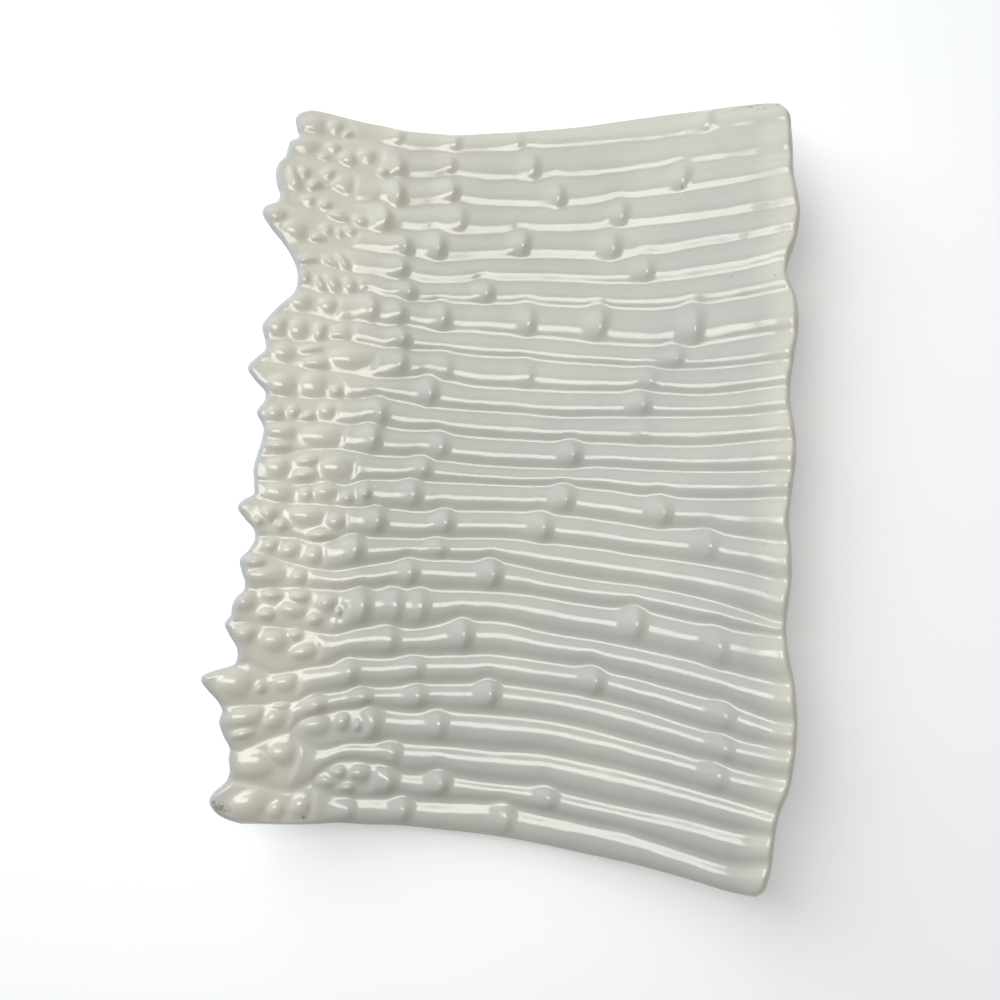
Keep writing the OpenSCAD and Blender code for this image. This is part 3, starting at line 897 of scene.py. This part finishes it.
def body_glaze(finish):
    """The same glaze on the plain underside"""
    material, tree, shader = new_material("body_glaze")
    cloud = patchy(tree, scale=30, detail=4, low=0.35, high=0.7)
    shade = [c * m for c, m in zip(finish.glaze, UNDER_SHADE)]
    tree.links.new(mixed(tree, cloud, finish.glaze, shade), shader.inputs["Base Color"])
    shader.inputs["IOR"].default_value = GLAZE_IOR
    rough = patchy(tree, scale=80, detail=2, out_low=finish.gloss, out_high=finish.gloss + 0.1)
    tree.links.new(rough, shader.inputs["Roughness"])
    bumped(tree, shader, noise(tree, scale=200, detail=2), strength=0.08, distance=0.001)
    return material


def foot_clay(finish):
    """Bare clay where the foot was wiped clean, with glaze above it"""
    material, tree, shader = new_material("foot_clay")
    place = tree.nodes.new("ShaderNodeTexCoord")
    split = tree.nodes.new("ShaderNodeSeparateXYZ")
    tree.links.new(place.outputs["Object"], split.inputs[0])
    wobble = maths(tree, "MULTIPLY", noise(tree, scale=90, detail=3), MM)
    edge = maths(tree, "ADD", split.outputs["Z"], wobble)
    glazed = ranged(tree, edge, WIPED_FROM, WIPED_TO)
    grain = patchy(tree, scale=900, detail=5)
    clay = mixed(tree, grain, [c * DARK_GRAIN for c in finish.clay], finish.clay)
    tree.links.new(mixed(tree, glazed, clay, finish.glaze), shader.inputs["Base Color"])
    rough = ranged(tree, glazed, low=0, high=1, out_low=0.85, out_high=finish.gloss)
    tree.links.new(rough, shader.inputs["Roughness"])
    bumped(tree, shader, grain, strength=0.25, distance=0.0004)
    return material


# Operators

class PLATE_OT_spears(bpy.types.Operator):
    """Lay the 26 glazed spears on the body"""
    bl_idname = "plate.spears"
    bl_label = "Spears"

    def execute(self, context):
        size = shape()
        board = relief(size)
        material = relief_glaze(context.scene.plate_finish)
        for k in range(SPEAR_COUNT):
            make_spear(k, size, board, material)
        return {"FINISHED"}


# Body: rounding of its rim below, points along and across it, how far they are drawn together at
# its ends and sides, its share of the spears' outline, and how far its top lies under their seat
UNDER_ROUND = 6
BODY_ROWS = 130
BODY_COLUMNS = 260
BODY_ROW_EASE = 0.8
BODY_COLUMN_EASE = 0.3
BODY_SHARE = 0.9985
TOP_SINK = 0.05
# Points of a grid from -1 to 1 that are past this lie on its edge
ON_EDGE = 0.9999


class PLATE_OT_body(bpy.types.Operator):
    """Make the curved body with its rounded rim"""
    bl_idname = "plate.body"
    bl_label = "Plate body"

    def execute(self, context):
        size = shape()
        bm = bmesh.new()
        for depth in (size["body_t"], TOP_SINK):
            self.lay_sheet(bm, size, depth)
        bmesh.ops.remove_doubles(bm, verts=bm.verts, dist=MERGE_DISTANCE)
        bmesh.ops.recalc_face_normals(bm, faces=bm.faces)
        if bm.calc_volume(signed=True) < 0:
            bmesh.ops.reverse_faces(bm, faces=bm.faces)
        finish_piece(bm, "glazed_body", body_glaze(context.scene.plate_finish),
                     ["plate_body"])
        return {"FINISHED"}

    @staticmethod
    def lay_sheet(bm, size, depth):
        """One of the two sheets that meet at the rim, at its depth under the seat of the spears"""
        made = bmesh.ops.create_grid(bm, x_segments=BODY_ROWS, y_segments=BODY_COLUMNS, size=1)
        grid = np.array([vert.co for vert in made["verts"]])[:, :2]
        inside = np.abs(grid).max(1) < ON_EDGE
        # Each corner joins the point beside it, or the corner faces of both sheets would share
        # an edge inside the rim
        grid[np.abs(grid).min(1) > ON_EDGE, 0] *= 1 - 2 / BODY_ROWS
        a = (BODY_SHARE * eased(grid[:, 0], BODY_ROW_EASE) + 1) / 2
        u = BODY_SHARE * eased(grid[:, 1], BODY_COLUMN_EASE)
        s, v = place_on_sheet(a, u, 0, SPEAR_COUNT)
        share = rounded(edge_gaps(s, v), (UNDER_ROUND,) * 4) * inside
        move_to(made["verts"], bent(size, s, v, -depth * share))


# Rails of the foot, and the bevel of their lower edges
RAILS = ("foot_rail_tip_side", "foot_rail_cut_side")
RAIL_BEVEL = 1.5
RAIL_SEGMENTS = 5


class PLATE_OT_foot(bpy.types.Operator):
    """Make the two rails of the foot"""
    bl_idname = "plate.foot"
    bl_label = "Foot rails"

    def execute(self, context):
        material = foot_clay(context.scene.plate_finish)
        for node in RAILS:
            low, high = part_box(node)
            bm = bmesh.new()
            bmesh.ops.create_cube(bm, size=1)
            bmesh.ops.scale(bm, verts=bm.verts, vec=high - low)
            bmesh.ops.translate(bm, verts=bm.verts, vec=(low + high) / 2)
            lower = [e for e in bm.edges if min(v.co.z for v in e.verts) < low.z + MM]
            bmesh.ops.bevel(bm, geom=lower, offset=RAIL_BEVEL * MM, offset_type="OFFSET",
                            segments=RAIL_SEGMENTS, profile=0.5, affect="EDGES", material=-1)
            finish_piece(bm, f"wiped_{node}", material, [node])
        return {"FINISHED"}


# Lamps: place, what they point at, width and height, power, colour, and if the gloss mirrors them
LAMPS = {
    "panel": ((-0.080, 0.02, 0.45), (-0.080, 0.015, 0), (0.235, 0.17), 0.62, (1, 0.96, 0.89), True),
    "window": ((-0.54, 0.48, 0.56), (0, 0, 0), (0.9, 0.7), 6.5, (0.88, 0.94, 1.0), False),
}
# Light of the room: its level, its colours at the tips' and the cut ends' side, and between which
# shares of the way along X it turns from one to the other
ROOM_LEVEL = 0.33
ROOM_TIP_SIDE = (0.66, 0.75, 0.85)
ROOM_CUT_SIDE = (1.0, 0.98, 0.95)
ROOM_TURN = (-0.9, 0.3)
# Floor: half its width in metres, its roughness, and how far it glows to the eye
FLOOR_HALF = 3
FLOOR_ROUGH = 0.9
FLOOR_GLOW = 0.25
NEAREST_SEEN = 0.01


class PLATE_OT_stage(bpy.types.Operator):
    """Set the floor, the soft light and the camera"""
    bl_idname = "plate.stage"
    bl_label = "Stage"

    def execute(self, context):
        scene = context.scene
        stage = scene.plate_stage
        scene.view_settings.view_transform = "Standard"
        self.floor(scene, stage)
        self.camera(scene, stage)
        for name, lamp in LAMPS.items():
            self.lamp(scene, name, *lamp)
        self.room(scene)
        return {"FINISHED"}

    @staticmethod
    def floor(scene, stage):
        """A pale floor that keeps the plate's shadow"""
        bm = bmesh.new()
        bmesh.ops.create_grid(bm, x_segments=1, y_segments=1, size=FLOOR_HALF)
        mesh = bpy.data.meshes.new("floor")
        bm.to_mesh(mesh)
        bm.free()
        floor = bpy.data.objects.new("floor", mesh)
        scene.collection.objects.link(floor)
        material, tree, shader = new_material("pale_floor")
        shader.inputs["Base Color"].default_value = (*stage.floor, 1)
        shader.inputs["Roughness"].default_value = FLOOR_ROUGH
        shader.inputs["Specular IOR Level"].default_value = 0
        path = tree.nodes.new("ShaderNodeLightPath")
        seen = maths(tree, "MAXIMUM", path.outputs["Is Camera Ray"], path.outputs["Is Glossy Ray"])
        seen = maths(tree, "MAXIMUM", seen, path.outputs["Is Transmission Ray"])
        shader.inputs["Emission Color"].default_value = (1, 1, 1, 1)
        tree.links.new(maths(tree, "MULTIPLY", seen, FLOOR_GLOW),
                       shader.inputs["Emission Strength"])
        mesh.materials.append(material)

    @staticmethod
    def camera(scene, stage):
        """The camera of the picture"""
        data = bpy.data.cameras.new("camera")
        data.lens = stage.lens
        data.clip_start = NEAREST_SEEN
        camera = bpy.data.objects.new("camera", data)
        camera.location = stage.camera_at
        camera.rotation_euler = stage.camera_turn
        scene.collection.objects.link(camera)
        scene.camera = camera

    @staticmethod
    def lamp(scene, name, place, aim, spread, power, colour, mirrored):
        """One soft lamp"""
        data = bpy.data.lights.new(name, "AREA")
        data.shape = "RECTANGLE"
        data.size, data.size_y = spread
        data.energy = power
        data.color = colour
        lamp = bpy.data.objects.new(name, data)
        lamp.location = place
        lamp.rotation_euler = (Vector(aim) - Vector(place)).to_track_quat("-Z", "Y").to_euler()
        lamp.visible_camera = False
        lamp.visible_glossy = mirrored
        scene.collection.objects.link(lamp)

    @staticmethod
    def room(scene):
        """Even light from all round, cooler on the side of the tips"""
        world = bpy.data.worlds.new("room")
        world.use_nodes = True
        tree = world.node_tree
        back = tree.nodes["Background"]
        place = tree.nodes.new("ShaderNodeTexCoord")
        way = tree.nodes.new("ShaderNodeSeparateXYZ")
        tree.links.new(place.outputs["Generated"], way.inputs[0])
        side = ranged(tree, way.outputs["X"], *ROOM_TURN)
        tree.links.new(mixed(tree, side, ROOM_TIP_SIDE, ROOM_CUT_SIDE), back.inputs["Color"])
        back.inputs["Strength"].default_value = ROOM_LEVEL
        scene.world = world


class PLATE_PT_panel(bpy.types.Panel):
    """Sizes, colours and steps of the plate"""
    bl_label = "Asparagus plate"
    bl_space_type = "VIEW_3D"
    bl_region_type = "UI"
    bl_category = "Plate"

    def draw(self, context):
        for group_name in GROUPS:
            group = getattr(context.scene, group_name)
            box = self.layout.box()
            for name in own_names(group):
                box.prop(group, name)
        for operator in OPERATORS:
            self.layout.operator(operator.bl_idname)


GROUPS = {"plate_shape": PlateShape, "plate_finish": PlateFinish, "plate_stage": PlateStage}
OPERATORS = (PLATE_OT_stage, PLATE_OT_body, PLATE_OT_spears, PLATE_OT_foot)


def register():
    """Adds the classes and gives the scene its property groups"""
    for cls in (*GROUPS.values(), *OPERATORS, PLATE_PT_panel):
        bpy.utils.register_class(cls)
    for name, cls in GROUPS.items():
        setattr(bpy.types.Scene, name, bpy.props.PointerProperty(type=cls))


def unregister():
    """Takes back what register added"""
    for name in GROUPS:
        delattr(bpy.types.Scene, name)
    for cls in (PLATE_PT_panel, *reversed(OPERATORS), *GROUPS.values()):
        bpy.utils.unregister_class(cls)


def main():
    """Builds the plate on its stage"""
    register()
    bpy.ops.plate.stage()
    bpy.ops.plate.body()
    bpy.ops.plate.spears()
    bpy.ops.plate.foot()


if __name__ == "__main__":
    main()
